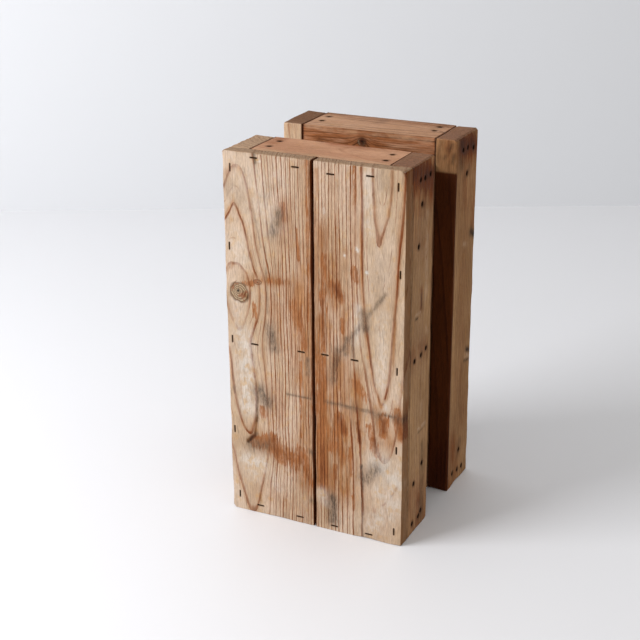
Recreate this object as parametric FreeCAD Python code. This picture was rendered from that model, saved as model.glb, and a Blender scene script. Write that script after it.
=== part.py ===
import FreeCAD, Part
import os
from FreeCAD import Vector

# Wooden cheese mold: a divided core box with a face of two planks, and two collars of
# battens nailed round it. It stands on one end. Millimetres, +Z up, -Y the plank face,
# +Y the open mouth. The origin is the middle of the footprint, on the surface it stands on.

# Overall sizes
WIDTH = 254.0
HEIGHT = 512.0

# Face planks
PLANK_T = 20.0
PLANK_GAP = 3.0             # open seam between the two planks, where whey drains

# Collars of battens round the core box
FRONT_COLLAR_D = 69.0
COLLAR_SPACING = 78.0       # bare stretch of core box between the collars
REAR_COLLAR_D = 79.0
SIDE_BATTEN_T = 30.0
END_BATTEN_T = 35.0
END_JOINT = 0.5             # an end batten is this much short at each end

# Core box
CORE_SIDE_T = 28.0
CORE_END_T = 25.0
DIVIDER_T = 26.0

# Worn arris left on every board
EDGE_ROUND = 1.0

# Cut nails
NAIL_R = 1.5
NAIL_HEAD_R = 2.75
NAIL_HEAD_T = 1.2
NAIL_POINT = 4.0            # length of the tapered point
NAIL_SUNK = 1.0             # how far the head lies below the wood
NAIL_PIT_CLEARANCE = 0.25   # pit round the head
SHORT_NAIL = 50.0
LONG_NAIL = 64.0
THROUGH_NAIL = 76.0

# Wire staples
STAPLE_CROWN = 10.0
STAPLE_WIRE = 1.3
STAPLE_LEG = 32.0
STAPLE_SUNK = 0.6

# Derived places
DEPTH = PLANK_T + FRONT_COLLAR_D + COLLAR_SPACING + REAR_COLLAR_D
X_OUT = WIDTH / 2
X_IN = X_OUT - SIDE_BATTEN_T
X_CORE = X_IN - CORE_SIDE_T
Y_FACE = -DEPTH / 2
Y_PLANK = Y_FACE + PLANK_T
Y_FRONT_END = Y_PLANK + FRONT_COLLAR_D
Y_REAR = Y_FRONT_END + COLLAR_SPACING
Y_MOUTH = Y_REAR + REAR_COLLAR_D
Y_STAPLE_TIP = Y_FACE + STAPLE_SUNK + STAPLE_LEG
Z_CORE = END_BATTEN_T
Z_CORE_TOP = HEIGHT - END_BATTEN_T
Z_MID = HEIGHT / 2


def board(x_span, y_span, z_span):
    """A sawn board as a box between three spans, with its edges rounded."""
    low = Vector(x_span[0], y_span[0], z_span[0])
    box = Part.makeBox(x_span[1] - x_span[0], y_span[1] - y_span[0], z_span[1] - z_span[0], low)
    return box.makeFillet(EDGE_ROUND, box.Edges)


def nail(entry, direction, length):
    """A nail driven from the point entry on the wood, and the hole it fills."""
    way = Vector(*direction)
    start = Vector(*entry)
    head_top = start + way * NAIL_SUNK
    head_under = head_top + way * NAIL_HEAD_T
    shank_end = head_top + way * (length - NAIL_POINT)
    head = Part.makeCylinder(NAIL_HEAD_R, NAIL_HEAD_T, head_top, way)
    shank = Part.makeCylinder(NAIL_R, length - NAIL_POINT - NAIL_HEAD_T, head_under, way)
    point = Part.makeCone(NAIL_R, NAIL_R / 4, NAIL_POINT, shank_end, way)
    body = head.fuse([shank, point]).removeSplitter()
    pit = Part.makeCylinder(NAIL_HEAD_R + NAIL_PIT_CLEARANCE, NAIL_SUNK + NAIL_HEAD_T, start, way)
    return body, pit.fuse(body)


def staple(x, z, upright):
    """A staple driven into the plank face at x, z, and the slot it fills."""
    half = STAPLE_CROWN / 2
    wide = STAPLE_WIRE / 2
    y_top = Y_FACE + STAPLE_SUNK
    across = (wide, half) if upright else (half, wide)
    crown_low = Vector(x - across[0], y_top, z - across[1])
    crown = Part.makeBox(2 * across[0], STAPLE_WIRE, 2 * across[1], crown_low)
    legs = []
    for side in (-1, 1):
        step = side * (half - wide)
        leg_x = x - wide + (0 if upright else step)
        leg_z = z - wide + (step if upright else 0)
        legs.append(Part.makeBox(STAPLE_WIRE, STAPLE_LEG, STAPLE_WIRE, Vector(leg_x, y_top, leg_z)))
    body = crown.fuse(legs).removeSplitter()
    mouth_low = Vector(x - across[0], Y_FACE, z - across[1])
    mouth = Part.makeBox(2 * across[0], STAPLE_SUNK, 2 * across[1], mouth_low)
    return body, mouth.fuse(body)


# Boards

boards = {}
full_height = (0, HEIGHT)
plank_depth = (Y_FACE, Y_PLANK)
boards["plank_left"] = board((-X_OUT, -PLANK_GAP / 2), plank_depth, full_height)
boards["plank_right"] = board((PLANK_GAP / 2, X_OUT), plank_depth, full_height)

collars = {"front": (Y_PLANK, Y_FRONT_END), "rear": (Y_REAR, Y_MOUTH)}
for collar, y_span in collars.items():
    end_span = (-X_IN + END_JOINT, X_IN - END_JOINT)
    boards[collar + "_collar_left"] = board((-X_OUT, -X_IN), y_span, full_height)
    boards[collar + "_collar_right"] = board((X_IN, X_OUT), y_span, full_height)
    boards[collar + "_collar_top"] = board(end_span, y_span, (Z_CORE_TOP, HEIGHT))
    boards[collar + "_collar_bottom"] = board(end_span, y_span, (0, Z_CORE))

core_depth = (Y_PLANK, Y_MOUTH)
core_inside = (-X_CORE, X_CORE)
core_height = (Z_CORE, Z_CORE_TOP)
boards["core_side_left"] = board((-X_IN, -X_CORE), core_depth, core_height)
boards["core_side_right"] = board((X_CORE, X_IN), core_depth, core_height)
boards["core_end_top"] = board(core_inside, core_depth, (Z_CORE_TOP - CORE_END_T, Z_CORE_TOP))
boards["core_end_bottom"] = board(core_inside, core_depth, (Z_CORE, Z_CORE + CORE_END_T))
boards["core_divider"] = board(core_inside, core_depth, (Z_MID - DIVIDER_T / 2, Z_MID + DIVIDER_T / 2))

# Nails. Each place is a share of the depth that the collar leaves for nailing, which starts
# behind the tips of the staples, then how far the nail wandered from the middle of the board
# that it is driven into.

nailing = {"front": (Y_STAPLE_TIP, Y_FRONT_END), "rear": (Y_REAR, Y_MOUTH)}

SIDE_NAILS = {
    "front": {
        "top": ((0.24, -4.5), (0.49, -5.5), (0.80, -4.5)),
        "end_top": ((0.34, -6.5),),
        "middle": ((0.06, -3.0), (0.45, -2.0), (0.74, 1.5)),
        "end_bottom": (),
        "bottom": ((0.10, -2.5), (0.49, -1.5), (0.63, 3.5)),
    },
    "rear": {
        "top": ((0.32, -1.5), (0.54, -1.5), (0.82, -6.5)),
        "end_top": ((0.53, -6.5),),
        "middle": (),
        "end_bottom": ((0.57, -0.5),),
        "bottom": ((0.27, 1.5), (0.51, -0.5), (0.73, -2.5)),
    },
}
SIDE_ROWS = {
    "top": (HEIGHT - END_BATTEN_T / 2, LONG_NAIL),
    "end_top": (Z_CORE_TOP - CORE_END_T / 2, THROUGH_NAIL),
    "middle": (Z_MID, THROUGH_NAIL),
    "end_bottom": (Z_CORE + CORE_END_T / 2, THROUGH_NAIL),
    "bottom": (END_BATTEN_T / 2, LONG_NAIL),
}
# Short nails that hold the front side battens to the core sides, as shares of depth and height
BATTEN_NAILS = ((0.18, 0.791), (0.63, 0.182), (0.15, 0.145))
# Nails through the end battens into the ends of the core sides, with how far each wandered
TOP_NAILS = {
    "front": {"left": ((0.15, 3.0), (0.66, 3.0)), "right": ((0.10, 0.0), (0.63, -4.0))},
    "rear": {"left": ((0.39, 1.0), (0.71, 0.0)), "right": ((0.48, -2.5), (0.77, -4.0))},
}
BOTTOM_NAILS = {"front": (0.28, 0.82), "rear": (0.40, 0.87)}
# Nails of the core box itself, as shares of its bare stretch
CORE_NAILS = (0.25, 0.75)

fasteners = {}
holes = []


def drive(node, made):
    """Keep a fastener in its node and its hole for the boards."""
    fasteners.setdefault(node, []).append(made[0])
    holes.append(made[1])


def along(span, share):
    """The point at a share of a span."""
    return span[0] + share * (span[1] - span[0])


for side, name in ((-1, "left"), (1, "right")):
    inward = (-side, 0, 0)
    for collar, span in nailing.items():
        node = collar + "_nails_" + name
        for row, (z_row, length) in SIDE_ROWS.items():
            for share, wander in SIDE_NAILS[collar][row]:
                drive(node, nail((side * X_OUT, along(span, share), z_row + wander), inward, length))
        for share, wander in TOP_NAILS[collar][name]:
            x = side * (X_IN - CORE_SIDE_T / 2) + wander
            drive(collar + "_nails_top", nail((x, along(span, share), HEIGHT), (0, 0, -1), LONG_NAIL))
        for share in BOTTOM_NAILS[collar]:
            x = side * (X_IN - CORE_SIDE_T / 2)
            drive(collar + "_nails_bottom", nail((x, along(span, share), 0), (0, 0, 1), LONG_NAIL))
    for share, up in BATTEN_NAILS:
        y = along(nailing["front"], share)
        drive("front_nails_" + name, nail((side * X_OUT, y, up * HEIGHT), inward, SHORT_NAIL))
    for row in ("end_top", "middle", "end_bottom"):
        for share in CORE_NAILS:
            y = along((Y_FRONT_END, Y_REAR), share)
            drive("core_nails_" + name, nail((side * X_IN, y, SIDE_ROWS[row][0]), inward, LONG_NAIL))

# Staples. The upright ones run down the side battens, the level ones along the end battens
# and the divider. The small steps are how far each one wandered.

EDGE_STAPLE_X = X_OUT - SIDE_BATTEN_T / 3
EDGE_STAPLE_STEPS = {
    "left": ((1.0, 5.5), (-4.0, -6.0), (-3.0, -1.0), (-3.0, 1.0), (1.5, -4.5)),
    "right": ((-1.0, 2.5), (1.0, 12.0), (0.5, -5.0), (3.0, -3.5), (-1.0, -3.5)),
}
EDGE_STAPLE_Z = (END_BATTEN_T / 2, 0.25 * HEIGHT, Z_MID, 0.75 * HEIGHT, HEIGHT - END_BATTEN_T / 2)
ROW_STAPLES = {
    "staples_top": (HEIGHT - END_BATTEN_T / 3, ((-0.64, 5.5), (-0.18, 0.0), (0.20, -3.5), (0.62, 0.0))),
    "staples_middle": (Z_MID, ((-0.68, -3.5), (-0.14, -2.0), (0.13, 0.0), (0.46, 0.0))),
    "staples_bottom": (END_BATTEN_T / 4, ((-0.66, 3.0), (-0.18, 0.0), (0.23, -1.5), (0.63, -1.5))),
}

for side, name in ((-1, "left"), (1, "right")):
    for z, step in zip(EDGE_STAPLE_Z, EDGE_STAPLE_STEPS[name]):
        drive("staples_" + name, staple(side * EDGE_STAPLE_X + step[0], z + step[1], True))
for node, (z_row, places) in ROW_STAPLES.items():
    for share, wander in places:
        drive(node, staple(share * X_OUT, z_row + wander, False))

# Holes in the boards, then the files

os.makedirs("parts", exist_ok=True)
for name, solid in boards.items():
    here = [hole for hole in holes if solid.BoundBox.intersect(hole.BoundBox)]
    drilled = solid.cut(here) if here else solid
    if len(drilled.Solids) != 1 or not drilled.isValid():
        raise ValueError(name + " is not one sound board")
    drilled.Solids[0].exportStep("parts/" + name + ".step")
for name, solids in fasteners.items():
    Part.makeCompound(solids).exportStep("parts/" + name + ".step")
print(len(boards), "boards and", len(fasteners), "fastener groups")
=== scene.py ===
import math
import bpy
import numpy as np
from mathutils import Matrix, Vector


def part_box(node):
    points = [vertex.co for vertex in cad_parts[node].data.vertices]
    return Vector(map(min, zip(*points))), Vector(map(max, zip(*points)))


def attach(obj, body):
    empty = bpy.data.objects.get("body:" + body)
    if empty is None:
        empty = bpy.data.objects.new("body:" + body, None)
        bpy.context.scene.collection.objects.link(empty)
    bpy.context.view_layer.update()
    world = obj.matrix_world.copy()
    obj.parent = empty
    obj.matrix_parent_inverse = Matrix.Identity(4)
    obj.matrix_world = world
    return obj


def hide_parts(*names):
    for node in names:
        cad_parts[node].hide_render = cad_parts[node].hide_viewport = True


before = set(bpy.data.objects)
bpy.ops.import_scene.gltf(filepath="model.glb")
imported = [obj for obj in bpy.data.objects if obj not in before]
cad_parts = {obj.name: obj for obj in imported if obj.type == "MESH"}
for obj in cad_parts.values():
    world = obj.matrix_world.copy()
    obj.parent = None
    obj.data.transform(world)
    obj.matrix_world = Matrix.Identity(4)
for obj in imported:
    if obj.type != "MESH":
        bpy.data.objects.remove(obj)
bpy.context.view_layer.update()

# Core box: five thick pine boards nailed into a box with a cross wall, open at the back.
# It is the part that the curd touched, so it is the darkest and the dullest. Every board of
# the mold is a box lattice whose faces are worn, pitted and marked with its growth rings.

MM = 0.001
MIDDLE_HEIGHT = 256.0                                      # half the height of the mold, millimetres
EDGE_STEPS = np.array([0.35, 0.8, 1.4, 2.2, 3.2, 4.6])     # lattice lines beside an arris
HEAD_STEPS = np.array([0.9, 1.7, 2.5, 3.3])                # lattice lines beside a nail head
SLOT_STEPS = np.array([0.5, 1.0, 1.6])                     # lattice lines beside a staple
KNOT_STEPS = np.array([-1.25, -1.0, -0.75, -0.4, 0.0, 0.4, 0.75, 1.0, 1.25])    # in knot radii
NAIL_SUNK = 1.0                                            # from the wood's face to a nail's head
NAIL_REACH = 12.0                                          # how far nail stains are measured
PIT_R, PIT_RIM, PIT_DEPTH = 2.7, 0.9, 1.6                  # the pit over a nail
SLOT_REACH = 6.0                                           # how far staple stains are measured
SLOT_HALF, SLOT_RIM, SLOT_DEPTH = 0.55, 0.6, 1.2           # the slot over a staple
SOFT_DEPTH = 0.22                                          # how far soft wood is scrubbed back
HOLLOW_DEPTH = 0.30                                        # the slow hollows, on average
PITCH_LIMITS = (1.5, 45.0)                                 # narrowest and widest growth rings


def wander(points, sizes, seed):
    """Smooth noise from -1 to 1: seeded random values on a lattice whose cells have the given
    sizes in millimetres, blended along each axis by the ease curve 3t^2 - 2t^3."""
    cells = 32
    values = np.random.default_rng(seed).uniform(-1, 1, (cells, cells, cells))
    place = points / np.asarray(sizes, float) + 5 * cells
    cell = np.floor(place).astype(int)
    ease = place - cell
    ease = ease * ease * (3 - 2 * ease)
    total = np.zeros(len(points))
    for corner in np.ndindex(2, 2, 2):
        at = (cell + corner) % cells
        share = np.where(corner, ease, 1 - ease).prod(axis=1)
        total += share * values[at[:, 0], at[:, 1], at[:, 2]]
    return total


def ramp(value, low, high):
    """The ease curve from 0 at low to 1 at high."""
    t = np.clip((value - low) / (high - low), 0, 1)
    return t * t * (3 - 2 * t)


def lattice_lines(low, high, step, extra):
    """Places from low to high: even steps, plus closer ones at both ends and at the extras."""
    count = int(round((high - low) / step)) + 1
    asked = np.concatenate([low + EDGE_STEPS, high - EDGE_STEPS, extra])
    asked = np.unique(np.round(asked[(asked > low) & (asked < high)], 2))
    kept = [low]
    for place in asked:
        if place - kept[-1] > 0.3:
            kept.append(place)
    if high - kept[-1] < 0.3:
        kept.pop()
    kept = np.array(kept + [high])
    even = np.linspace(low, high, count)
    far = np.abs(even[:, None] - kept[None]).min(axis=1) > 0.45 * step
    return np.sort(np.concatenate([kept, even[far]]))


def box_lattice(lines):
    """The closed surface of a box over three sets of lines: its points and outward quads."""
    shape = [len(line) for line in lines]
    skin = np.zeros(shape, bool)
    for axis in range(3):
        np.moveaxis(skin, axis, 0)[[0, -1]] = True
    number = np.full(shape, -1)
    number[skin] = np.arange(skin.sum())
    points = np.stack(np.meshgrid(*lines, indexing="ij"), axis=-1)[skin]
    quads = []
    for axis in range(3):
        for end in (0, -1):
            face = np.moveaxis(number, axis, 0)[end]
            ring = [face[:-1, :-1], face[1:, :-1], face[1:, 1:], face[:-1, 1:]]
            if (end == 0) != (axis == 1):
                ring.reverse()
            quads.append(np.stack(ring, axis=-1).reshape(-1, 4))
    return points, np.concatenate(quads)


def solids_of(node):
    """The low and high corners, in millimetres, of each separate solid of a fastener node."""
    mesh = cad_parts[node].data
    places = np.empty(len(mesh.vertices) * 3)
    mesh.vertices.foreach_get("co", places)
    places = places.reshape(-1, 3) / MM
    ends = np.empty(len(mesh.edges) * 2, int)
    mesh.edges.foreach_get("vertices", ends)
    spots, own = np.unique(np.round(places, 3), axis=0, return_inverse=True)
    own = own.ravel()
    a, b = own[ends.reshape(-1, 2)].T
    group = np.arange(len(spots))
    while True:
        lowest = np.minimum(group[a], group[b])
        before = group.copy()
        np.minimum.at(group, a, lowest)
        np.minimum.at(group, b, lowest)
        if (group == before).all():
            break
    return [(spots[group == g].min(axis=0), spots[group == g].max(axis=0)) for g in np.unique(group)]


def nail_heads(*nodes):
    """Where each nail of these nodes enters the wood. A nail's head is at the end that is
    further out, along the axis that the nail is longest in."""
    heads = []
    for node in nodes:
        for low, high in solids_of(node):
            axis = int(np.argmax(high - low))
            centre = (low + high) / 2
            middle = MIDDLE_HEIGHT if axis == 2 else 0.0
            out = high if abs(high[axis] - middle) > abs(low[axis] - middle) else low
            centre[axis] = out[axis] + math.copysign(NAIL_SUNK, out[axis] - middle)
            heads.append(centre)
    return np.array(heads)


def near(points, places, reach):
    """1 at the nearest of these places, falling evenly to 0 at the reach."""
    gap = np.full(len(points), reach)
    for place in places:
        gap = np.minimum(gap, np.linalg.norm(points - place, axis=1))
    return 1 - gap / reach


def strokes(points, axes, marks):
    """Soft marks on a face: each is a line from one point to another in two of the axes, with
    a half width and a strength. A mark falls off as a bell curve of the distance from it."""
    flat = points[:, axes]
    total = np.zeros(len(points))
    for start, end, width, strength in marks:
        start, end = np.array(start, float), np.array(end, float)
        run = end - start
        share = np.clip((flat - start) @ run / max(run @ run, 1e-9), 0, 1)
        gap = np.linalg.norm(flat - start - share[:, None] * run, axis=1)
        total = np.maximum(total, strength * np.exp(-((gap / width) ** 2)))
    return total


def log_rings(along, pith, spacing, drift, seed):
    """Growth rings of a board sawn from a log. The ring count at a point is its distance from
    the pith line over the ring spacing. The pith line bows along the board by the drift."""
    across = [axis for axis in range(3) if axis != along]

    def count(points):
        run = points[:, along]
        bow = np.column_stack([np.sin(run / 140.0 + seed), np.cos(run / 170.0 + 2.0 * seed)])
        sizes = np.full(3, 45.0)
        sizes[along] = 190.0
        gap = points[:, across] - np.asarray(pith) - drift * bow
        return np.hypot(gap[:, 0], gap[:, 1]) / spacing + 0.45 * wander(points, sizes, seed)

    return count


def board(node, rings, along, step, wear, seed, marks, heads=(), crowns=(), knots=(), cuts=()):
    """A worn board in the place of a CAD board. Each lattice point of the box is pulled onto an
    arc of the wear radius wherever two faces meet, then sunk along its normal by a slow hollow,
    by the soft wood between rings, and by nail pits and staple slots. It never leaves the box.
    A knot is a centre, a radius, a stretch and a lean for each axis, and how far it lifts the
    rings. A cut is a point of a plane, the way the plane faces, and how rough it is."""
    low, high = (np.array(corner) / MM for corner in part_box(node))
    inside = [h for h in heads if (h > low - 1.5).all() and (h < high + 1.5).all()]
    slots = [c for c in crowns if (c[0] > low - 3).all() and (c[1] < high + 3).all()]
    lines = []
    for axis in range(3):
        extra = [h[axis] + side * HEAD_STEPS for h in inside for side in (-1, 1)]
        for start, end in slots:
            extra += [start[axis] - SLOT_STEPS, end[axis] + SLOT_STEPS, (start + end)[axis : axis + 1] / 2]
        for centre, radius_mm, squash, lean, swell in knots:
            extra += [centre[axis] + KNOT_STEPS * radius_mm * squash[axis]]
        extra = np.concatenate(extra) if extra else np.zeros(0)
        lines.append(lattice_lines(low[axis], high[axis], step[axis], extra))
    points, quads = box_lattice(lines)
    middle, half = (low + high) / 2, (high - low) / 2
    radius = wear[0] + wear[1] * np.clip(0.5 + wander(points, (26, 26, 26), seed), 0, 1.4)
    radius += 0.35 * wander(points, (5, 5, 5), seed + 1)
    radius = np.clip(radius, 0.5, 0.42 * half.min())[:, None]
    place = points - middle
    core = np.clip(place, radius - half, half - radius)
    reach = place - core
    length = np.linalg.norm(reach, axis=1, keepdims=True)
    normal = reach / length
    worn = core + normal * radius + middle
    arris = np.clip((length / radius - 1)[:, 0] / 0.41, 0, 1)

    def knot_gaps(places):
        for centre, radius_mm, squash, lean, swell in knots:
            apart = (places - centre) / np.asarray(squash)
            gap = np.linalg.norm(apart, axis=1) + apart @ np.asarray(lean, float)
            yield gap * (1 + 0.16 * wander(places, (5, 5, 5), seed + 4)) / radius_mm, swell

    def level(places):
        total = rings(places)
        for gap, swell in knot_gaps(places):
            total = total + swell * np.exp(-((gap / 2.0) ** 2))
        return total

    count = level(points)
    slope = np.column_stack([level(points + shift) - count for shift in np.eye(3) * 0.5]) / 0.5
    slope -= normal * (slope * normal).sum(axis=1, keepdims=True)
    pitch = np.clip(1 / np.maximum(np.linalg.norm(slope, axis=1), 1e-3), *PITCH_LIMITS)
    knot = np.zeros(len(points))
    for gap, swell in knot_gaps(points):
        knot = np.maximum(knot, 1 - gap / 2)
    phase = count - np.floor(count)
    soft = SOFT_DEPTH * ramp(phase, 0.0, 0.15) * (1 - ramp(phase, 0.55, 0.95))
    end = np.abs(normal[:, along])
    hollow = HOLLOW_DEPTH * (1 + wander(points, (60, 60, 60), seed + 2)) * (1 - arris)
    nailed = near(points, inside, NAIL_REACH)
    pit = PIT_DEPTH * (1 - ramp(NAIL_REACH * (1 - nailed), PIT_R, PIT_R + PIT_RIM))
    slit = np.zeros(len(points))
    for start, end_point in slots:
        run = end_point - start
        share = np.clip((points - start) @ run / (run @ run), 0, 1)
        gap = np.linalg.norm(points - start - share[:, None] * run, axis=1)
        slit = np.maximum(slit, 1 - gap / SLOT_REACH)
    slot = SLOT_DEPTH * (1 - ramp(SLOT_REACH * (1 - slit), SLOT_HALF, SLOT_HALF + SLOT_RIM))
    sink = np.maximum(pit, slot) + soft * (1 - end) + hollow
    worn = worn - normal * np.minimum(sink, 0.45 * half.min())[:, None]
    for at, facing, rough in cuts:
        facing = np.array(facing, float) / np.linalg.norm(facing)
        over = (worn - np.array(at)) @ facing + rough * wander(worn, (4, 4, 4), seed + 3)
        worn = worn - facing * np.clip(over, 0, None)[:, None]
    worn = np.clip(worn, low, high)

    mesh = bpy.data.meshes.new(node + "_worn")
    mesh.from_pydata((worn * MM).tolist(), [], quads.tolist())
    mesh.polygons.foreach_set("use_smooth", np.ones(len(quads), bool))
    fields = {"ring": count, "pitch": pitch, "knot": np.clip(knot, 0, 1), "end": end}
    fields.update(nailed=nailed, slit=slit, arris=arris)
    for name, (axes, laid) in marks.items():
        fields[name] = strokes(points, axes, laid)
    for name, values in fields.items():
        mesh.attributes.new(name, "FLOAT", "POINT").data.foreach_set("value", values.astype(np.float32))
    mesh.update()
    piece = bpy.data.objects.new(node + "_worn", mesh)
    bpy.context.scene.collection.objects.link(piece)
    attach(piece, "root")
    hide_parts(node)
    return piece


def linear(code):
    """An sRGB hex colour as linear values, with an alpha of 1."""
    parts = [int(code[i : i + 2], 16) / 255 for i in (1, 3, 5)]
    return [p / 12.92 if p <= 0.04045 else ((p + 0.055) / 1.055) ** 2.4 for p in parts] + [1.0]


def add(tree, kind, *values, out=None, **named):
    """Adds one node and returns one of its outputs. The values fill its open inputs in order, and
    a name is that of another input or of a setting. Another node's output is linked."""
    node = tree.nodes.new("ShaderNode" + kind)
    for name, value in named.items():
        if name not in node.inputs:
            setattr(node, name, value)
    filled = list(zip([socket for socket in node.inputs if socket.enabled], values))
    filled += [(node.inputs[name], value) for name, value in named.items() if name in node.inputs]
    for socket, value in filled:
        if isinstance(value, bpy.types.NodeSocket):
            tree.links.new(value, socket)
        else:
            socket.default_value = value
    return node.outputs[out] if out else next(socket for socket in node.outputs if socket.enabled)


# settings that many nodes share
PLUS, MINUS, TIMES, TIMES_PLUS, HIGHER = (
    {"operation": kind} for kind in ("ADD", "SUBTRACT", "MULTIPLY", "MULTIPLY_ADD", "MAXIMUM"))
EASED = {"interpolation_type": "SMOOTHSTEP"}
COLOURS = {"data_type": "RGBA"}
STAINED = {"data_type": "RGBA", "blend_type": "MULTIPLY"}


def pine(name, along, tones, line=1.0):
    """Old scrubbed pine: pale soft wood between hard reddish latewood lines that stand proud, fine
    fibre along the board, brown skin left in patches, grey dirt, and wood blackened by iron, which in
    the nail pits and staple slots is also painted shade."""
    material = bpy.data.materials.new(name)
    material.use_nodes = True
    tree = material.node_tree
    shader = tree.nodes["Principled BSDF"]
    where = add(tree, "TexCoord", out="Object")
    tone_of = {key: linear(code) for key, code in tones.items()}
    knot_tan, knot_grey, resin_red = linear("#9E886C"), linear("#5C4430"), linear("#7E4526")
    heart_black, outline_brown = linear("#1C120C"), linear("#4A3020")
    rust_brown, pit_iron_and_shade = linear("#3E2415"), linear("#0D0704")
    wire_brown, slot_iron_and_shade = linear("#4A2E1E"), linear("#0F0906")
    carried = "ring pitch knot end nailed slit arris patina wash grime bleach stain".split()
    field = {name: add(tree, "Attribute", out="Fac", attribute_name=name) for name in carried}

    def grain(across_mm, along_mm, detail=2.0, roughness=0.5):
        """A noise whose grains have these sizes across and along the fibre."""
        sizes = [1000 / across_mm] * 3
        sizes[along] = 1000 / along_mm
        turned = add(tree, "Mapping", where, Scale=sizes)
        return add(tree, "TexNoise", turned, Scale=1.0, Detail=detail, Roughness=roughness)

    # growth lines: a band just before each whole ring count, as wide as the pitch allows. A noise
    # runs round 0.5, so each wiggle made from one takes off half of its gain.
    pitch = field["pitch"]
    wiggle = add(tree, "Math", grain(9, 70, 3.0), 1.0, -0.5, **TIMES_PLUS)
    frayed = add(tree, "Math", wiggle, 3.2,
                 add(tree, "Math", grain(1.8, 10, 3.0, 0.7), 1.5, -0.75, **TIMES_PLUS), **TIMES_PLUS)
    moved = add(tree, "Math", field["ring"], add(tree, "Math", frayed, pitch, operation="DIVIDE"), **PLUS)
    phase = add(tree, "Math", moved, operation="FRACT")
    before = add(tree, "Math", add(tree, "Math", 1.0, phase, **MINUS), pitch, **TIMES)
    stroke = add(tree, "MapRange", grain(7, 60), 0.3, 0.7, -0.2, 1.0, **EASED)
    width = add(tree, "Math", add(tree, "Math", pitch, 15.0, operation="MINIMUM"), 0.26, stroke,
                **TIMES_PLUS)
    band = add(tree, "MapRange", before, width, add(tree, "Math", width, 0.3, **TIMES), **EASED)
    edge = add(tree, "MapRange", add(tree, "Math", phase, pitch, **TIMES), 0.4, 0.0, **EASED)
    year = add(tree, "Math", moved, operation="FLOOR")
    year = add(tree, "TexWhiteNoise", year, noise_dimensions="1D")
    patchy_force = add(tree, "MapRange", grain(9, 70, 4.0), 0.32, 0.6, 0.35, 1.0, **EASED)
    force = add(tree, "Math", add(tree, "MapRange", year, 0.0, 1.0, 0.6, 1.0, **EASED), patchy_force,
                **TIMES)
    glow = add(tree, "MapRange", before, add(tree, "Math", pitch, 0.5, **TIMES), 0.0, 0.0, 0.2, **EASED)
    hard = add(tree, "Math", add(tree, "Math", band, edge, **HIGHER), glow, **HIGHER)
    hard = add(tree, "Math", hard, force, **TIMES)
    half_way = add(tree, "Math", add(tree, "Math", phase, 0.45, **MINUS), operation="ABSOLUTE")
    half_way = add(tree, "Math", half_way, pitch, **TIMES)
    faint = add(tree, "MapRange", grain(6, 80, 3.0), 0.42, 0.62, 0.0, 0.5, **EASED)
    faint = add(tree, "Math", faint, add(tree, "MapRange", half_way, 0.8, 0.2, **EASED), **TIMES)
    hard = add(tree, "Math", add(tree, "Math", hard, faint, **HIGHER), line, **TIMES)

    # soft wood, broad brown wash, and the old skin left in ragged patches
    cloud = grain(34, 120, 3.0)
    blotch = grain(11, 17, 4.0, 0.6)
    tone = add(tree, "Mix", add(tree, "MapRange", cloud, 0.35, 0.65, **EASED), tone_of["early"],
               tone_of["early_2"], **COLOURS)
    tone = add(tree, "Mix", add(tree, "MapRange", blotch, 0.52, 0.72, 0.0, 0.5, **EASED), tone,
               tone_of["ochre"], **COLOURS)
    tone = add(tree, "Mix", hard, tone, tone_of["late"], **COLOURS)
    washed = add(tree, "MapRange", grain(8, 60, 4.0, 0.6), 0.3, 0.62, 0.35, 1.1, **EASED)
    washed = add(tree, "Math", field["wash"], washed, **TIMES)
    tone = add(tree, "Mix", washed, tone, tone_of["wash"], **STAINED)
    skin = add(tree, "Mix", hard, tone_of["brown"], tone_of["brown_late"], **COLOURS)
    ragged = add(tree, "Math", add(tree, "Math", grain(2.2, 44, 4.0, 0.7), 1.9, -0.95, **TIMES_PLUS),
                 add(tree, "Math", grain(5, 26, 4.0, 0.65), 1.5, -0.75, **TIMES_PLUS), **PLUS)
    skinned = add(tree, "MapRange", add(tree, "Math", field["patina"], ragged, **PLUS), 0.36, 0.64,
                  **EASED)
    skinned = add(tree, "Math", skinned, add(tree, "MapRange", field["patina"], 0.05, 0.25, **EASED),
                  **TIMES)
    flaking = add(tree, "MapRange", grain(4, 12, 3.0, 0.7), 0.3, 0.6, 0.5, 0.97, **EASED)
    skinned = add(tree, "Math", skinned, flaking, **TIMES)
    tone = add(tree, "Mix", skinned, tone, skin, **COLOURS)
    # pale bleached patches; where the bleach mark runs along a top edge it is a painted highlight
    paled_and_highlit = add(tree, "Math", field["bleach"],
                add(tree, "MapRange", blotch, 0.35, 0.6, 0.3, 1.0, **EASED), **TIMES)
    tone = add(tree, "Mix", add(tree, "Math", paled_and_highlit, 0.8, **TIMES), tone, tone_of["bleach"], **COLOURS)
    golden = add(tree, "MapRange", grain(11, 15, 5.0, 0.65), 0.52, 0.59, 0.0, 0.5, **EASED)
    golden = add(tree, "Math", field["bleach"], golden, **TIMES)
    tone = add(tree, "Mix", golden, tone, tone_of["ochre"], **COLOURS)

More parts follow.
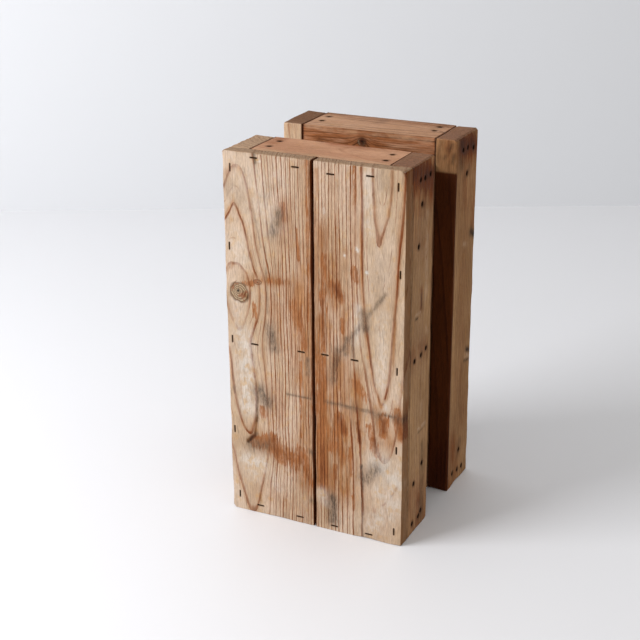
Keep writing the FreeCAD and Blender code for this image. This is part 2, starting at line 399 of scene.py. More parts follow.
    # knots: tan rings round a small black heart, red where the resin is, in a dark outline
    knot = field["knot"]
    knot_wave = add(tree, "Math", knot, 9.0, add(tree, "Math", wiggle, 1.6, **TIMES), **TIMES_PLUS)
    knot_wave = add(tree, "Math", knot_wave, operation="FRACT")
    knot_tone = add(tree, "Mix", add(tree, "MapRange", knot_wave, 0.25, 0.95, **EASED), knot_tan,
                    knot_grey, **COLOURS)
    resin = add(tree, "MapRange", grain(8, 8, 3.0), 0.46, 0.56, 0.0, 0.75, **EASED)
    knot_tone = add(tree, "Mix", resin, knot_tone, resin_red, **COLOURS)
    knot_tone = add(tree, "Mix", add(tree, "MapRange", knot, 0.88, 0.95, **EASED), knot_tone, heart_black,
                    **COLOURS)
    tone = add(tree, "Mix", add(tree, "MapRange", knot, 0.47, 0.53, 0.0, 0.92, **EASED), tone, knot_tone,
               **COLOURS)
    rim = add(tree, "Math", add(tree, "MapRange", knot, 0.40, 0.5, **EASED),
              add(tree, "MapRange", knot, 0.58, 0.5, **EASED), **TIMES)
    tone = add(tree, "Mix", add(tree, "Math", rim, 0.5, **TIMES), tone, outline_brown, **COLOURS)

    # dirt in the fibre, and stain that darkens without hiding the grain. On the rear right post's front
    # face the stain mark is painted shade in the recess.
    speck = add(tree, "MapRange", grain(1.9, 7, 4.0, 0.7), 0.34, 0.64, 0.45, 0.92, **EASED)
    patchy = add(tree, "Math", grain(9, 18, 4.0, 0.6), 1.5, -0.75, **TIMES_PLUS)
    dirty = add(tree, "Math", patchy, field["grime"], field["grime"], **TIMES_PLUS)
    dirty = add(tree, "Math", add(tree, "Math", dirty, speck, **TIMES), 0.85, **TIMES)
    tone = add(tree, "Mix", dirty, tone, tone_of["dirt"], **COLOURS)
    stained_and_shaded = add(tree, "MapRange", add(tree, "Math", wiggle, 0.5, field["stain"], **TIMES_PLUS), 0.0, 1.0,
                 **EASED)
    tone = add(tree, "Mix", stained_and_shaded, tone, tone_of["stain"], **STAINED)

    # end grain
    end = add(tree, "MapRange", field["end"], 0.5, 0.85, **EASED)
    cut = add(tree, "Mix", add(tree, "Math", hard, 0.35, **TIMES), tone_of["end"], tone_of["brown_late"],
              **COLOURS)
    filth = add(tree, "MapRange", grain(3.5, 3.5, 4.0, 0.7), 0.42, 0.72, 0.0, 0.45, **EASED)
    cut = add(tree, "Mix", filth, cut, tone_of["dirt"], **COLOURS)
    tone = add(tree, "Mix", add(tree, "Math", end, 0.85, **TIMES), tone, cut, **COLOURS)

    # fibre, pores and specks
    fibre = grain(0.55, 22, 3.0, 0.6)
    pores = add(tree, "MapRange", grain(0.8, 26, 2.0, 0.7), 0.30, 0.36, 1.0, 0.0, **EASED)
    shade = add(tree, "MapRange", fibre, 0.25, 0.75, 0.88, 1.10, **EASED)
    specked = add(tree, "MapRange", grain(1.7, 11, 5.0, 0.75), 0.28, 0.70, 0.80, 1.13, **EASED)
    shade = add(tree, "Math", shade, specked, **TIMES)
    shade = add(tree, "Math", shade, add(tree, "Math", pores, -0.32, 1.0, **TIMES_PLUS), **TIMES)
    grey = add(tree, "CombineColor", shade, shade, shade)
    tone = add(tree, "Mix", 1.0, tone, grey, **STAINED)
    # edges rubbed paler: worn wood, and also a painted highlight along the arrises
    rubbed_and_highlit = add(tree, "Math", field["arris"], stained_and_shaded, **MINUS)
    rubbed_and_highlit = add(tree, "Math", rubbed_and_highlit, add(tree, "MapRange", blotch, 0.42, 0.68, 0.0, 0.4, **EASED),
                 **TIMES)
    rubbed_and_highlit = add(tree, "Math", rubbed_and_highlit, 0.0, **HIGHER)
    tone = add(tree, "Mix", rubbed_and_highlit, tone, tone_of["bleach"], **COLOURS)

    # black and rust where iron is; the near-black inside nail pits and staple slots is iron stain and
    # painted shade of the hollows
    gone = add(tree, "Math", 1.0, field["nailed"], **MINUS)
    rust = add(tree, "MapRange", add(tree, "Math", wiggle, 0.3, gone, **TIMES_PLUS), 0.62, 0.22, **EASED)
    tone = add(tree, "Mix", add(tree, "Math", rust, 0.6, **TIMES), tone, rust_brown, **COLOURS)
    pitted = add(tree, "MapRange", gone, 0.30, 0.25, **EASED)
    tone = add(tree, "Mix", pitted, tone, pit_iron_and_shade, **COLOURS)
    left = add(tree, "Math", 1.0, field["slit"], **MINUS)
    tone = add(tree, "Mix", add(tree, "MapRange", left, 0.36, 0.14, 0.0, 0.5, **EASED), tone, wire_brown,
               **COLOURS)
    slotted = add(tree, "MapRange", left, 0.16, 0.10, **EASED)
    tone = add(tree, "Mix", slotted, tone, slot_iron_and_shade, **COLOURS)
    tree.links.new(tone, shader.inputs["Base Color"])

    gloss = add(tree, "Math", skinned, -0.14, add(tree, "MapRange", fibre, 0.3, 0.7, 0.93, 0.80, **EASED),
                **TIMES_PLUS)
    gloss = add(tree, "Math", gloss, add(tree, "Math", pitted, slotted, **HIGHER), **HIGHER)
    tree.links.new(gloss, shader.inputs["Roughness"])
    shader.inputs["IOR"].default_value = 1.45
    shader.inputs["Specular IOR Level"].default_value = 0.16
    relief = add(tree, "Math", fibre, 0.5, add(tree, "Math", hard, 0.6, **TIMES), **TIMES_PLUS)
    relief = add(tree, "Math", pores, -0.6, relief, **TIMES_PLUS)
    relief = add(tree, "Math", grain(1.3, 7, 4.0, 0.7), 0.6, relief, **TIMES_PLUS)
    bump = add(tree, "Bump", Strength=0.8, Distance=0.0006, Height=relief)
    tree.links.new(bump, shader.inputs["Normal"])
    return material


core_nail_heads = nail_heads("core_nails_left", "core_nails_right")
# pine stained by whey: dull dark brown, and its growth lines are weak
core_tones = dict(early="#8C6446", early_2="#775036", ochre="#80562F", late="#55301C", brown="#5C3418",
                  brown_late="#3E2010", dirt="#2B231D", end="#5E4632", bleach="#927A60", wash="#C79A70",
                  stain="#7A5438")
core_pine_upright = pine("whey_stained_pine_upright", along=2, tones=core_tones)
core_pine_level = pine("whey_stained_pine_level", along=0, tones=core_tones)
core_marks = {
    "patina": ((1, 2), [((0, 60), (0, 450), 60, 0.45)]),
    "grime": ((1, 2), [((-95, 40), (-95, 470), 14, 0.5), ((5, 40), (5, 60), 40, 0.4)]),
}
for side, sign in (("left", -1), ("right", 1)):
    rings = log_rings(along=2, pith=(sign * 150, 60), spacing=6.0, drift=9, seed=3 + sign)
    piece = board("core_side_" + side, rings, along=2, step=(4.0, 2.6, 3.4), wear=(1.0, 1.2),
                  seed=20 + sign, heads=core_nail_heads, marks=core_marks)
    piece.data.materials.append(core_pine_upright)
cross_boards = (("core_end_bottom", -30, 31), ("core_divider", 320, 33), ("core_end_top", 540, 35))
for name, pith_height, seed in cross_boards:
    piece = board(name, log_rings(along=0, pith=(20, pith_height), spacing=5.5, drift=8, seed=seed),
                  along=0, step=(3.0, 3.0, 3.6), wear=(1.0, 1.2), seed=seed,
                  marks={"grime": ((1, 0), [((-95, -60), (-95, 60), 16, 0.6)])})
    piece.data.materials.append(core_pine_level)

# Front collar: four thick pine battens nailed round the core box, flush with its front edge.
# The side battens run the full height and the end battens fit between them. They are sawn,
# brown with handling, darkest near the top, with black stain round the nails.

# handled pine: brown and dry, with a darker skin where hands and iron have been
collar_tones = dict(early="#B0885F", early_2="#9A7550", ochre="#9C7042", late="#6E4124", brown="#683310",
                    brown_late="#45200A", dirt="#2A1F18", end="#906950", bleach="#B6977A", wash="#BE8A62",
                    stain="#7A5028")
# scrubbed pine: paler and greyer, with its growth lines showing
pale_tones = dict(collar_tones, early="#BCA286", early_2="#AB8B6A", ochre="#B08A5E", late="#84532F",
                  end="#B8977A", bleach="#CDB8A0")
front_heads = nail_heads("front_nails_left", "front_nails_right", "front_nails_top", "front_nails_bottom")
side_pine = {"left": pine("scrubbed_pine_upright", along=2, tones=pale_tones, line=0.8),
             "right": pine("handled_pine_upright", along=2, tones=collar_tones, line=0.7)}
side_marks = {
    "left": {
        "patina": ((1, 2), [((-70, 480), (-70, 500), 25, 0.5)]),
        "stain": ((0, 1), [((-97, -110), (-97, -30), 1.6, 1.3)]),
    },
    "right": {
        "patina": ((1, 2), [((-98, 503), (-40, 482), 19, 1.0), ((-80, 60), (-60, 10), 22, 0.3)]),
        "wash": ((1, 2), [((-100, 500), (-36, 480), 34, 1.3), ((-60, 262), (-100, 260), 20, 0.6),
                          ((-100, 462), (-62, 442), 16, 0.6), ((-100, 430), (-60, 405), 26, 0.4),
                          ((-75, 50), (-60, 5), 30, 0.8), ((-68, 345), (-68, 318), 5, 0.9)]),
        "stain": ((1, 2), [((-98, 505), (-40, 490), 13, 0.4), ((-72, 456), (-66, 455), 6, 0.5)]),
        "grime": ((1, 2), [((-60, 491), (-50, 489), 5, 0.5), ((-55, 120), (-52, 20), 8, 0.6),
                           ((-101, 512), (-101, 0), 2.0, 0.7), ((-68, 338), (-66, 320), 2.5, 0.8),
                           ((-88, 311), (-78, 309), 1.6, 1.1), ((-70, 145), (-48, 146), 1.4, 0.9)]),
        "bleach": ((1, 2), [((-55, 440), (-52, 330), 7, 0.9), ((-88, 315), (-70, 315), 2.6, 1.6),
                            ((-72, 150), (-45, 149), 2.6, 1.5), ((-50, 285), (-46, 280), 5, 0.9),
                            ((-60, 205), (-62, 170), 8, 0.5), ((-72, 430), (-72, 20), 32, 0.3)]),
    },
}
for side, sign in (("left", -1), ("right", 1)):
    rings = log_rings(along=2, pith=(sign * 30, 40), spacing=6.5, drift=12, seed=5 + 2 * sign)
    worn_corner = ((sign * 125.6, -70, 510.6), (sign, 0, 1), 0.5)
    piece = board("front_collar_" + side, rings, along=2, step=(2.2, 1.5, 2.9), wear=(1.2, 1.8),
                  seed=40 + sign, heads=front_heads, marks=side_marks[side], cuts=[worn_corner])
    piece.data.materials.append(side_pine[side])
# scrubbed pine laid level: pinkish and smooth, with hardly a line
top_tones = dict(collar_tones, early="#C69676", early_2="#B78768", ochre="#B88A62", late="#8A5737",
                 brown="#8F5A36", brown_late="#6A3F23")
top_pine = pine("scrubbed_pine_level", along=0, tones=top_tones, line=0.45)
for end, height, seed in (("top", 700, 51), ("bottom", -190, 53)):
    piece = board("front_collar_" + end,
                  log_rings(along=0, pith=(-70, height), spacing=7.5, drift=10, seed=seed), along=0,
                  step=(2.2, 1.7, 2.4), wear=(0.8, 0.8), seed=seed, heads=front_heads,
                  # the bleach line along the front edge of each batten's top is a painted highlight on the
                  # rounded edge
                  marks={"bleach": ((0, 1), [((-90, -100), (90, -100), 4, 0.9)]),
                         "stain": ((0, 1), [((-97, -110), (-97, -30), 2.0, 1.5)]),
                         "wash": ((0, 1), [((-10, -36), (30, -36), 14, 0.6),
                                           ((-84, -60), (-84, -40), 10, 0.5)])})
    piece.data.materials.append(top_pine)

# Rear collar: the same four battens round the mouth of the core box, a little deeper. Its top
# batten has a knot and waving grain on the side that faces the front collar.

rear_heads = nail_heads("rear_nails_left", "rear_nails_right", "rear_nails_top", "rear_nails_bottom")
rear_marks = {
    "left": {
        "patina": ((1, 2), [((70, 500), (100, 492), 18, 0.8), ((60, 60), (70, 10), 16, 0.4)]),
        "wash": ((0, 1, 2), [((-112, 70, 512), (-112, 110, 512), 22, 1.2),
                             ((-127, 84, 430), (-127, 84, 60), 34, 0.35)]),
        "stain": ((0, 1), [((-97, 40), (-97, 130), 1.8, 1.4)]),
    },
    "right": {
        "patina": ((1, 2), [((66, 502), (112, 490), 16, 0.95)]),
        "wash": ((1, 2), [((84, 440), (84, 60), 26, 0.3), ((84, 470), (84, 425), 26, 0.55),
                          ((70, 500), (110, 490), 30, 1.2), ((44, 500), (44, 470), 9, 0.2),
                          ((60, 60), (60, 5), 30, 0.8), ((84, 170), (100, 100), 26, 0.4),
                          ((114, 460), (114, 380), 12, 0.6)]),
        # first stain stroke: painted shade on the post's front face, in the recess the front collar
        # shadows
        "stain": ((1, 2), [((43, 462), (43, 5), 5.0, 1.7), ((62, 504), (100, 497), 12, 0.45)]),
        "grime": ((0, 1, 2), [((127, 64, 502), (127, 76, 488), 9, 0.85),
                              ((127, 60, 484), (127, 66, 472), 8, 0.7),
                              ((127, 104, 492), (127, 108, 488), 6, 0.9),
                              ((127, 92, 462), (127, 84, 456), 7, 0.5),
                              ((120, 44, 505), (116, 44, 498), 4, 0.9),
                              ((123, 44, 492), (121, 44, 482), 3, 0.8),
                              ((112, 44, 490), (110, 44, 486), 2.5, 0.8),
                              ((104, 44, 508), (100, 44, 480), 3, 0.5),
                              ((127, 108, 370), (127, 120, 364), 6, 1.5),
                              ((127, 106, 197), (127, 120, 192), 4, 1.4),
                              ((127, 92, 58), (127, 86, 42), 8, 0.7),
                              ((127, 98, 182), (127, 118, 178), 2, 1.2),
                              ((112, 90, 512), (122, 116, 512), 10, 0.4)]),
        "bleach": ((1, 2), [((102, 190), (120, 184), 4, 1.8), ((82, 360), (98, 356), 3.5, 0.8)]),
    },
}
rear_pine = {"left": pine("paler_pine_upright", along=2, tones=dict(pale_tones, end="#7E5A40"), line=0.8),
             "right": side_pine["right"]}
rear_cuts = {"left": [],
             "right": [((124.9, 84, 509.9), (1, 0, 1), 0.6), ((126.3, 84, 508.5), (1, 0, 0.4), 0.5)]}
for side, sign in (("left", -1), ("right", 1)):
    rings = log_rings(along=2, pith=(sign * 60, 190), spacing=6.0, drift=10, seed=8 + 3 * sign)
    piece = board("rear_collar_" + side, rings, along=2, step=(2.2, 1.7, 2.9), wear=(1.4, 2.4),
                  seed=60 + sign, heads=rear_heads, marks=rear_marks[side], cuts=rear_cuts[side])
    piece.data.materials.append(rear_pine[side])
# knotty pine: like the other level battens, with dark waving lines round its knots
knotty_tones = dict(top_tones, early="#C59A7C", early_2="#B68A6B", late="#5A3D24", wash="#B68F68")
rear_end_pine = {"top": pine("knotty_pine_level", along=0, tones=knotty_tones, line=0.8),
                 "bottom": top_pine}
for end, height, seed in (("top", 560, 71), ("bottom", -160, 73)):
    knots = [((-8.0, 44.0, 497.0), 5.2, (1.15, 2.5, 1.0), (0.1, 0.0, 0.2), 1.7),
             ((-70.0, 44.0, 486.0), 3.0, (2.6, 2.5, 1.0), (0.0, 0.0, 0.0), 1.6)] if end == "top" else []
    piece = board("rear_collar_" + end,
                  log_rings(along=0, pith=(70, height), spacing=5.5, drift=8, seed=seed), along=0,
                  step=(2.0, 1.8, 1.6), wear=(0.8, 1.0), seed=seed, heads=rear_heads, knots=knots,
                  # the bleach line under the top edge of the front face is a painted highlight on the
                  # rounded edge
                  marks={"bleach": ((0, 2), [((-90, 509), (90, 507), 3, 0.5)]),
                         "grime": ((0, 1, 2), [((-90, 121, 512), (90, 121, 512), 5, 0.5),
                                               ((-5, 112, 512), (-5, 96, 512), 8, 0.45),
                                               ((-8, 44, 498), (-8, 44, 495), 6, 0.45),
                                               ((-74, 44, 488), (-66, 44, 487), 4, 0.6),
                                               ((85, 112, 512), (78, 100, 512), 9, 0.3)]),
                         "wash": ((1, 2), [((43, 512), (43, 470), 3.5, 0.95),
                                           ((43, 484), (43, 470), 6, 1.0),
                                           ((120, 512), (110, 512), 8, 0.5)]),
                         "stain": ((0, 1, 2), [((-97, 44, 512), (-97, 130, 512), 2.2, 1.2),
                                               ((97, 44, 512), (97, 130, 512), 1.8, 1.0),
                                               ((-97, 44, 512), (-97, 44, 470), 2.2, 1.2),
                                               ((97, 44, 512), (97, 44, 470), 1.8, 1.0),
                                               ((-8, 44, 497), (-7, 44, 496), 6, 0.8)])})
    piece.data.materials.append(rear_end_pine[end])

# Nails and staples: cut iron nails driven just under the surface, and fine wire staples, both
# tarnished black-brown. Their solids are the CAD ones. A nail shows as a dull head at the
# bottom of a dark pit.


def iron(name, dark, rust, roughness, metal, patch_mm):
    """Old iron: dark scale with rust blooms, rough all over, so it only glints at its edges."""
    material = bpy.data.materials.new(name)
    material.use_nodes = True
    tree = material.node_tree
    shader = tree.nodes["Principled BSDF"]
    where = add(tree, "TexCoord", out="Object")
    bloom = add(tree, "TexNoise", where, Scale=1000 / patch_mm, Detail=4.0)
    share = add(tree, "MapRange", bloom, 0.4, 0.6)
    tone = add(tree, "Mix", share, linear(dark), linear(rust), **COLOURS)
    tree.links.new(tone, shader.inputs["Base Color"])
    shader.inputs["Metallic"].default_value = metal
    shader.inputs["Specular IOR Level"].default_value = 0.0
    rough = add(tree, "MapRange", bloom, 0.0, 1.0, roughness - 0.15, roughness + 0.15)
    tree.links.new(rough, shader.inputs["Roughness"])
    bump = add(tree, "Bump", Strength=0.6, Distance=0.0002, Height=bloom)
    tree.links.new(bump, shader.inputs["Normal"])
    return material


nail_iron = iron("rusted_nail_iron", dark="#0C0806", rust="#24140C", roughness=0.8, metal=0.0,
                 patch_mm=1.2)
staple_wire = iron("tarnished_staple_wire", dark="#120D0A", rust="#33200F", roughness=0.7, metal=0.0,
                   patch_mm=1.6)
for node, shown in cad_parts.items():
    if "nails" in node or "staples" in node:
        shown.data.materials.clear()
        shown.data.materials.append(nail_iron if "nails" in node else staple_wire)

# Face planks: two flat-sawn pine planks stapled over the front collar and the divider, with an
# open seam between them. Their growth lines are listed, from the level of one line to the
# next, as x and height in millimetres: each has only the points that its bends need.


def laid_rings(lines, squeeze, lean, face):
    """A thin-plate surface through growth lines of known level: the sum of r^2 log r from every
    given point, plus a plane. It leans across the plank's thickness."""
    marks = np.array([(x, z / squeeze, level) for level, line in lines for x, z in line], float)
    place = marks[:, :2]
    gap = np.linalg.norm(place[:, None] - place[None], axis=2)
    kernel = gap**2 * np.log(gap + 1e-9) + 2.0 * np.eye(len(place))
    plane = np.column_stack([np.ones(len(place)), place])
    system = np.block([[kernel, plane], [plane.T, np.zeros((3, 3))]])
    weights = np.linalg.solve(system, np.append(marks[:, 2], np.zeros(3)))

    def count(points):
        spots = np.column_stack([points[:, 0] + lean * (points[:, 1] - face), points[:, 2] / squeeze])
        total = weights[-3] + spots @ weights[-2:]
        for spot, weight in zip(place, weights):
            square = ((spots - spot) ** 2).sum(axis=1)
            total += weight * 0.5 * square * np.log(square + 1e-12)
        return total + 0.10 * wander(points, (14, 14, 90), 7)

    return count


left_lines = (
    (-0.8, ((-109, 324),)),
    (0.0, ((-125, 350), (-113, 363), (-101, 356), (-93, 345))),
    (0.3, ((-105, 230), (-104, 190), (-101, 160))),
    (1.0, ((-125, 425), (-112, 446), (-103, 430), (-97, 415), (-91, 385), (-84, 362), (-79, 350),
           (-78, 300), (-92, 256), (-86, 210), (-84, 180), (-87, 145), (-98, 119), (-108, 132),
           (-117, 162), (-122, 200), (-125, 240))),
    (2.0, ((-125, 470), (-117, 486), (-106, 493), (-95, 482), (-88, 458), (-84, 428), (-80, 395),
           (-74, 366), (-69, 350), (-68, 300), (-74, 256), (-69, 200), (-67, 120), (-72, 75), (-82, 30),
           (-91, 0), (-101, 0), (-113, 30), (-125, 85))),
    (3.0, ((-81, 512), (-76, 460), (-71, 412), (-65, 375), (-60, 345), (-60, 300), (-61, 200),
           (-60, 100), (-66, 50), (-70, 0))),
    (5.0, ((-62, 512), (-57, 430), (-52, 350), (-51, 300), (-50, 200), (-50, 100), (-53, 0))),
    (8.0, ((-42, 512), (-40, 440), (-37, 350), (-38, 300), (-38, 150), (-40, 0))),
    (11.0, ((-24, 512), (-22, 400), (-20, 300), (-20, 150), (-23, 0))),
    (15.0, ((-4, 512), (-3, 400), (-3, 300), (-3, 150), (-5, 0))),
)
right_lines = (
    (-0.9, ((95, 505),)),
    (-0.5, ((95, 462),)),
    (0.0, ((82, 512), (83, 480), (88, 440), (94, 417), (100, 440), (107, 480), (108, 512))),
    (0.5, ((96, 330), (96, 250))),
    (1.0, ((66, 512), (67, 400), (69, 350), (73, 305), (80, 256), (86, 226), (96, 197), (104, 214),
           (110, 248), (113, 300), (116, 350), (119, 400), (123, 460), (126, 512))),
    (1.6, ((76, 250), (83, 214), (92, 180), (100, 155), (108, 180), (115, 215), (120, 260))),
    (3.0, ((52, 512), (52, 400), (55, 330), (57, 256), (60, 210), (65, 150), (69, 80), (71, 40),
           (71, 0))),
    (2.6, ((100, 10), (120, 40))),
    (5.0, ((41, 512), (42, 400), (43, 300), (44, 200), (47, 100), (48, 0))),
    (8.0, ((27, 512), (27, 400), (28, 300), (29, 150), (30, 0))),
    (12.0, ((8, 512), (8, 300), (9, 150), (9, 0))),
    (13.5, ((1, 512), (1, 250), (1, 0))),
)


def beside(line, width, strength):
    """Marks along a growth line: one for each stretch between its points."""
    return [(start, end, width, strength) for start, end in zip(line, line[1:])]


crowns = []
for node in ("staples_left", "staples_right", "staples_top", "staples_middle", "staples_bottom"):
    for low, high in solids_of(node):
        half_wire = min(high[0] - low[0], high[2] - low[2]) / 2
        flat = np.array([half_wire, 0, half_wire])
        start, stop = low + flat, high - flat
        start[1] = stop[1] = low[1] - 0.6
        crowns.append((start, stop))
# scrubbed face planks: the palest, with hard red-brown lines and rags of the old brown skin
plank_tones = dict(early="#B8A28D", early_2="#AA9177", ochre="#B08A58", late="#784524", brown="#8E5830",
                   brown_late="#623417", dirt="#44382F", end="#A08266", bleach="#BEB4A9", wash="#D8B28C",
                   stain="#BC9A76")
plank_pine = pine("scrubbed_pine_planks", along=2, tones=plank_tones, line=1.15)
left_marks = {
    "patina": ((0, 2), [((-30, 320), (-20, 292), 10, 0.72), ((-19, 300), (-16, 262), 7, 0.66),
                        ((-41, 450), (-39, 430), 6, 0.8), ((-86, 310), (-84, 292), 4, 0.8),
                        ((-70, 345), (-34, 347), 7, 0.58), ((-92, 108), (-60, 118), 11, 1.0),
                        ((-62, 120), (-50, 92), 11, 1.0), ((-40, 100), (-22, 96), 11, 1.0),
                        ((-20, 110), (-6, 66), 9, 0.85), ((-78, 160), (-76, 152), 7, 0.9),
                        ((-78, 112), (-54, 104), 17, 0.62), ((-44, 98), (-18, 82), 14, 0.6),
                        ((-99, 336), (-88, 338), 5, 0.85), ((-19, 240), (-19, 130), 2.5, 0.8),
                        ((-7, 512), (-6, 300), 2.5, 0.6), ((-1, 512), (-1, 0), 1.4, 1.0),
                        ((-22, 420), (-20, 380), 3, 0.7)]),
    "wash": ((0, 2), [((-12, 400), (-12, 60), 11, 0.75), ((-20, 340), (-14, 240), 22, 0.9),
                      ((-14, 230), (-12, 60), 14, 0.8), ((-38, 450), (-36, 400), 14, 0.6),
                      ((-92, 345), (-30, 348), 9, 0.8), ((-55, 310), (-45, 260), 16, 0.5),
                      ((-80, 110), (-25, 95), 20, 0.8), ((-6, 512), (-6, 340), 9, 0.7),
                      ((-115, 300), (-118, 290), 8, 0.5), ((-122, 480), (-112, 492), 5, 0.7),
                      ((-60, 200), (-55, 150), 18, 0.4), ((-70, 40), (-30, 20), 20, 0.3)]
             + beside(left_lines[1][1], 2.4, 0.6) + beside(left_lines[3][1], 2.6, 0.8)
             + beside(left_lines[4][1], 2.4, 0.55)),
    "grime": ((0, 2), [((-57, 410), (-46, 438), 8, 0.85), ((-68, 450), (-60, 470), 8, 0.25),
                       ((-64, 280), (-58, 252), 8, 1.0), ((-80, 186), (-70, 172), 11, 1.25),
                       ((-96, 102), (-74, 108), 11, 0.85), ((-101, 106), (-88, 122), 3.4, 1.2),
                       ((-40, 190), (-5, 190), 1.8, 1.0), ((-8, 245), (-8, 225), 3.5, 1.0),
                       ((-5, 112), (-3, 110), 4, 0.8), ((-81, 512), (-79, 500), 2.2, 1.2),
                       ((-115, 464), (-103, 452), 12, 0.35), ((-86, 140), (-84, 190), 2.2, 1.1),
                       ((-4, 38), (-2, 36), 4, 0.8), ((-66, 300), (-68, 390), 1.6, 0.5),
                       ((-74, 390), (-84, 440), 1.4, 0.5), ((-120, 185), (-119, 178), 3, 0.8)]),
    "bleach": ((0, 2), [((-95, 485), (-62, 430), 32, 0.4), ((-103, 262), (-100, 160), 15, 1.1),
                        ((-104, 80), (-80, 76), 14, 0.95), ((-112, 395), (-104, 372), 14, 0.6),
                        ((-112, 310), (-112, 270), 10, 0.6), ((-104, 66), (-92, 58), 13, 0.6),
                        ((-64, 60), (-56, 46), 9, 0.5), ((-50, 490), (-40, 470), 12, 0.3),
                        ((-78, 504), (-73, 502), 2.0, 2.5)]),
    "stain": ((0, 2), [((-128.5, 512), (-128.5, 0), 1.6, 1.4), ((-1, 512), (-1, 360), 1.8, 1.6),
                       ((-1, 360), (-1, 0), 1.0, 1.1), ((-24, 104), (-8, 70), 6, 0.3),
                       ((-100, 322), (-97, 318), 5, 0.8), ((-62, 116), (-54, 96), 7, 0.4),
                       ((-101, 108), (-90, 118), 3.2, 1.0), ((-90, 118), (-86, 146), 2.4, 0.9)]),
}
right_marks = {
    "patina": ((0, 2), [((12, 250), (12, 68), 8, 1.0), ((14, 390), (14, 262), 6, 0.7),
                        ((30, 353), (37, 338), 11, 0.9), ((1, 512), (1, 0), 1.2, 1.0),
                        ((42, 308), (42, 292), 4, 0.9), ((26, 125), (34, 160), 8, 0.9),
                        ((36, 172), (46, 150), 8, 0.9), ((24, 152), (44, 116), 15, 0.62),
                        ((57, 380), (60, 366), 6, 0.75), ((58, 510), (58, 462), 3, 0.7),
                        ((60, 224), (76, 204), 9, 0.8), ((64, 172), (66, 140), 4, 0.9),
                        ((80, 166), (90, 130), 7, 0.95), ((100, 182), (100, 160), 8, 1.2),
                        ((118, 196), (125, 160), 7, 0.9), ((57, 60), (58, 40), 3, 0.8),
                        ((52, 130), (54, 90), 3, 0.7), ((31, 100), (30, 80), 4, 0.8),
                        ((68, 400), (68, 512), 1.6, 0.5)]),
    "wash": ((0, 2), [((30, 200), (40, 70), 30, 1.0), ((6, 500), (6, 300), 4, 0.7),
                      ((12, 300), (12, 70), 16, 1.2), ((14, 420), (30, 330), 18, 0.8),
                      ((48, 400), (54, 330), 12, 0.5), ((34, 250), (42, 110), 20, 0.9),
                      ((62, 230), (66, 140), 16, 0.9), ((42, 320), (44, 270), 12, 0.7),
                      ((58, 500), (58, 360), 7, 0.6), ((84, 190), (104, 150), 16, 0.8),
                      ((122, 200), (122, 160), 10, 0.9), ((120, 460), (114, 300), 4, 0.6),
                      ((30, 480), (30, 420), 16, 0.3), ((70, 50), (90, 20), 18, 0.35),
                      ((104, 70), (112, 30), 12, 0.4)] + beside(right_lines[2][1], 2.6, 0.7)
             + beside(right_lines[4][1], 3.2, 0.95)),
    "grime": ((0, 2), [((100, 352), (30, 252), 3.6, 0.85), ((71, 322), (74, 302), 6, 1.15),
                       ((35, 266), (28, 222), 7, 0.9), ((48, 284), (46, 262), 4, 0.8),
                       ((26, 50), (27, 16), 8, 1.25), ((18, 190), (124, 187), 2.6, 1.0),
                       ((86, 187), (93, 185), 6, 0.9), ((116, 187), (125, 184), 7, 0.9),
                       ((74, 90), (90, 108), 10, 0.95), ((69, 108), (71, 72), 2.4, 1.2),
                       ((55, 294), (57, 260), 2, 1.0), ((60, 190), (60, 188), 8, 0.5),
                       ((92, 500), (98, 490), 12, 0.3), ((97, 398), (90, 350), 15, 0.22),
                       ((70, 70), (71, 0), 1.4, 0.8)]),
    "bleach": ((0, 2), [((76, 500), (76, 430), 7, 0.6), ((97, 320), (96, 232), 11, 0.55),
                        ((94, 118), (120, 96), 17, 1.0), ((92, 76), (112, 60), 9, 0.8),
                        ((10, 52), (16, 44), 9, 0.9), ((112, 52), (84, 24), 17, 0.8),
                        ((108, 84), (118, 60), 13, 0.8), ((62, 280), (64, 330), 5, 0.7),
                        ((100, 206), (103, 196), 3, 1.0), ((61, 407), (63, 404), 1.6, 2.5),
                        ((74, 377), (76, 376), 1.3, 2.5), ((44, 396), (46, 394), 1.2, 2.0),
                        ((16, 452), (17, 446), 1.2, 1.6)]),
    "stain": ((0, 2), [((128.5, 512), (128.5, 0), 1.6, 2.0), ((32, 350), (37, 342), 8, 0.6),
                       ((12, 120), (14, 80), 7, 0.35), ((1, 512), (1, 0), 1.2, 1.3),
                       ((100, 178), (100, 164), 5, 0.8), ((120, 180), (126, 160), 6, 0.5),
                       ((86, 150), (89, 132), 4, 0.6), ((62, 168), (66, 142), 3, 0.7),
                       ((38, 170), (44, 152), 5, 0.6), ((14, 330), (16, 270), 4, 0.5)]),
}
top_bites = ((0, -122.1, 511.1), (0, -1, 1), 1.1)
left_cuts = [((-125.5, -121, 2), (-1, -0.6, -0.8), 0.8), ((-125.6, -113, 510.6), (-1, 0, 1), 0.5),
             top_bites]
right_cuts = [((124, -120, 509), (0.8, -0.7, 0.6), 0.8), ((125.6, -113, 510.6), (1, 0, 1), 0.5), top_bites]
left_knots = [((-109.5, -123.0, 325.0), 12.0, (1.1, 1.0, 1.05), (-0.18, 0.0, 0.14), 0.0),
              ((-80.0, -123.0, 341.0), 4.6, (1.35, 1.0, 0.8), (0.0, 0.0, 0.0), 0.0)]
planks = (("plank_left", left_lines, left_marks, 81, left_knots, left_cuts),
          ("plank_right", right_lines, right_marks, 83, [], right_cuts))
for node, lines, marks, seed, knots, cuts in planks:
    rings = laid_rings(lines, squeeze=3.0, lean=0.35, face=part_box(node)[0].y / MM)
    piece = board(node, rings, along=2, step=(1.35, 2.6, 2.6), wear=(1.0, 2.0), seed=seed, crowns=crowns,
                  knots=knots, marks=marks, cuts=cuts)
    piece.data.materials.append(plank_pine)

# Room: a pale painted floor and a plain wall behind it, one large window-like light at
# the front left, and even light from all round. The camera looks down from the front right.

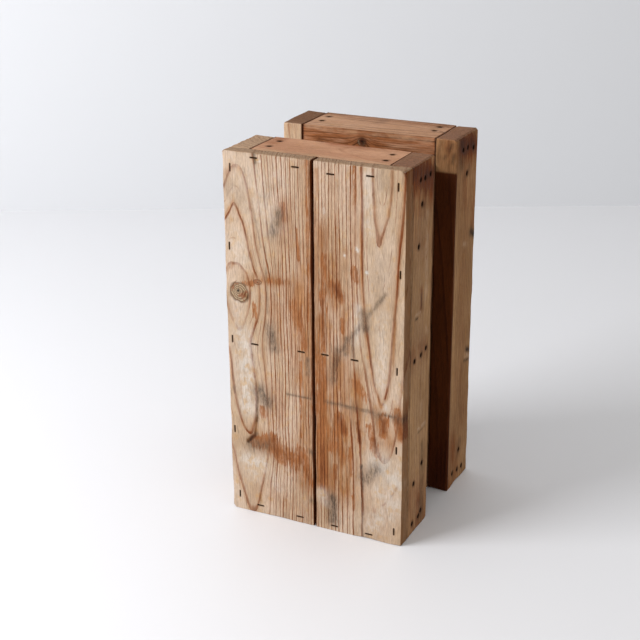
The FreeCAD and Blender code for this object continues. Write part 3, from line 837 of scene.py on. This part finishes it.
CAMERA_TURN = math.radians(26.33)
FLOOR_NEAR, WALL_DEPTH = -3.2, 1.39                        # metres, away from the camera
WALL_TOP, HALF_WIDTH = 2.6, 4.0
FLOOR_STEPS, WALL_STEPS, WIDE_STEPS = 24, 12, 17
depth = np.append(np.linspace(FLOOR_NEAR, WALL_DEPTH, FLOOR_STEPS), np.full(WALL_STEPS, WALL_DEPTH))
rise = np.append(np.zeros(FLOOR_STEPS), np.linspace(0.05, WALL_TOP, WALL_STEPS))
across = np.linspace(-HALF_WIDTH, HALF_WIDTH, WIDE_STEPS)[:, None]
away = np.array([-math.sin(CAMERA_TURN), math.cos(CAMERA_TURN)])
room_points = np.stack([across * away[1] + depth * away[0], depth * away[1] - across * away[0],
                        np.broadcast_to(rise, (WIDE_STEPS, len(rise)))], axis=-1).reshape(-1, 3)
corner = np.arange(len(room_points)).reshape(WIDE_STEPS, -1)
room_quads = np.stack([corner[:-1, :-1], corner[1:, :-1], corner[1:, 1:], corner[:-1, 1:]], axis=-1)
room_mesh = bpy.data.meshes.new("studio_floor")
room_mesh.from_pydata(room_points.tolist(), [], room_quads.reshape(-1, 4).tolist())
studio_floor = bpy.data.objects.new("studio_floor", room_mesh)
bpy.context.scene.collection.objects.link(studio_floor)
# eggshell paint: even and nearly matt, a shade greyer on the wall than on the floor
paint = bpy.data.materials.new("pale_floor_paint")
paint.use_nodes = True
spot = add(paint.node_tree, "TexCoord", out="Object")
level = add(paint.node_tree, "SeparateXYZ", spot, out="Z")
upright = add(paint.node_tree, "MapRange", level, 0.0001, 0.0002)
tint = add(paint.node_tree, "Mix", upright, linear("#E8E9EC"), linear("#D4D6D9"), **COLOURS)
paint.node_tree.links.new(tint, paint.node_tree.nodes["Principled BSDF"].inputs["Base Color"])
paint.node_tree.nodes["Principled BSDF"].inputs["Roughness"].default_value = 0.55
room_mesh.materials.append(paint)

world = bpy.data.worlds.new("even_light")
world.use_nodes = True
world.node_tree.nodes["Background"].inputs["Color"].default_value = linear("#F7F4F0")
world.node_tree.nodes["Background"].inputs["Strength"].default_value = 0.69
bpy.context.scene.world = world
window = bpy.data.lights.new("window", "AREA")
window.shape = "RECTANGLE"
window.size, window.size_y = 1.45, 1.65
window.energy = 76
window.color = linear("#FCFCFF")[:3]
window_object = bpy.data.objects.new("window", window)
toward = Vector((0.67, 0.71, -0.43)).normalized()
window_object.location = Vector((0, 0, 0.25)) - 2.6 * toward
window_object.rotation_euler = toward.to_track_quat("-Z", "Y").to_euler()
bpy.context.scene.collection.objects.link(window_object)

lens = bpy.data.cameras.new("camera")
lens.lens, lens.sensor_width, lens.clip_start = 75.56, 36.0, 0.05
camera = bpy.data.objects.new("camera", lens)
camera.location = (0.7176, -1.5525, 0.9318)
tilt = Matrix.Rotation(math.radians(90 - 21.50), 3, "X") @ Matrix.Rotation(math.radians(-0.46), 3, "Z")
camera.rotation_euler = (Matrix.Rotation(CAMERA_TURN, 3, "Z") @ tilt).to_euler()
bpy.context.scene.collection.objects.link(camera)
bpy.context.scene.camera = camera
bpy.context.scene.view_settings.view_transform = "Standard"
